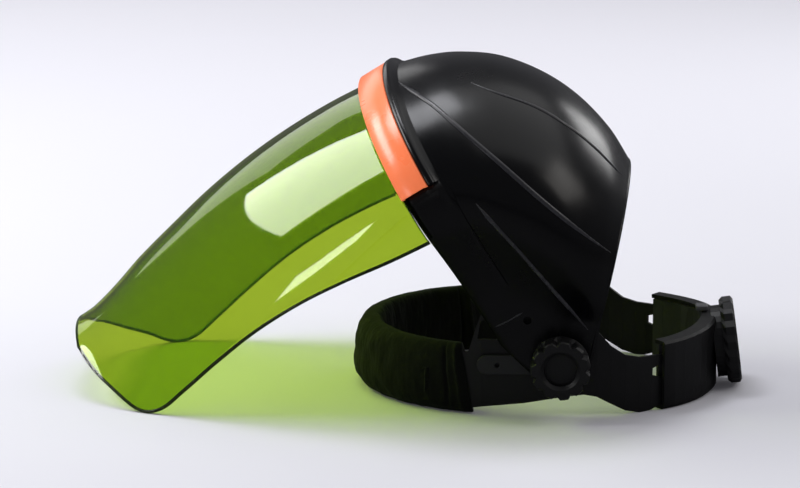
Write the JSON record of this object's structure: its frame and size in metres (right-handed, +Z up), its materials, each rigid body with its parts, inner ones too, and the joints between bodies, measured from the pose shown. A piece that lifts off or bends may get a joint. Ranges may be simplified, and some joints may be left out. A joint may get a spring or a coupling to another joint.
{
  "type": "laser safety face shield",
  "caption": "Worn face shield: black hood with a tinted green visor in an orange clip, tilting on a padded headband with side clamping knobs and a rear ratchet knob.",
  "frame": {"origin": "on the floor under the middle of the resting shield's box", "axes": "X across the head, +X the wearer's left; the face looks along -Y; +Z up"},
  "size_m": [0.212, 0.3822, 0.1891],
  "materials": {
    "hood_plastic": "satin",
    "band_plastic": "satin",
    "knob_plastic": "satin",
    "tab_plastic": "matt",
    "liner_plastic": "matt",
    "trim_plastic": "satin",
    "visor_sheet": "clear tinted, polished",
    "sweatband_fabric": "brushed cloth over foam",
    "bolt_steel": "zinc plated"
  },
  "bodies": {
    "headgear": {"headband": "band_plastic", "sweatband": "sweatband_fabric", "rear_cover": "band_plastic", "rear_liner": "liner_plastic", "rear_clip": "liner_plastic", "tilt_tab_left": "tab_plastic", "tilt_tab_right": "tab_plastic", "pivot_bolt_left": "bolt_steel", "pivot_bolt_right": "bolt_steel"},
    "shield": {"crown": "hood_plastic", "arm_left": "hood_plastic", "arm_right": "hood_plastic", "brow_trim": "trim_plastic", "visor": "visor_sheet"},
    "left_knob": {"tilt_knob_left": "knob_plastic"},
    "right_knob": {"tilt_knob_right": "knob_plastic"},
    "ratchet_knob": {"rear_knob": "knob_plastic"}
  },
  "joints": [
    {"name": "shield_tilt", "type": "hinge", "parent": "headgear", "child": "shield", "pos_m": [0, 0.08774, 0.0309], "axis": [1, 0, 0], "range_deg": [-22, 58]},
    {"name": "left_knob_turn", "type": "hinge", "parent": "headgear", "child": "left_knob", "pos_m": [0.09, 0.08774, 0.0309], "axis": [1, 0, 0], "continuous": true},
    {"name": "right_knob_turn", "type": "hinge", "parent": "headgear", "child": "right_knob", "pos_m": [-0.09, 0.08774, 0.0309], "axis": [-1, 0, 0], "continuous": true},
    {"name": "rear_knob_turn", "type": "hinge", "parent": "headgear", "child": "ratchet_knob", "pos_m": [0, 0.17654, 0.0249], "axis": [0, 0.991, 0.134], "range_deg": [0, 290]}
  ]
}
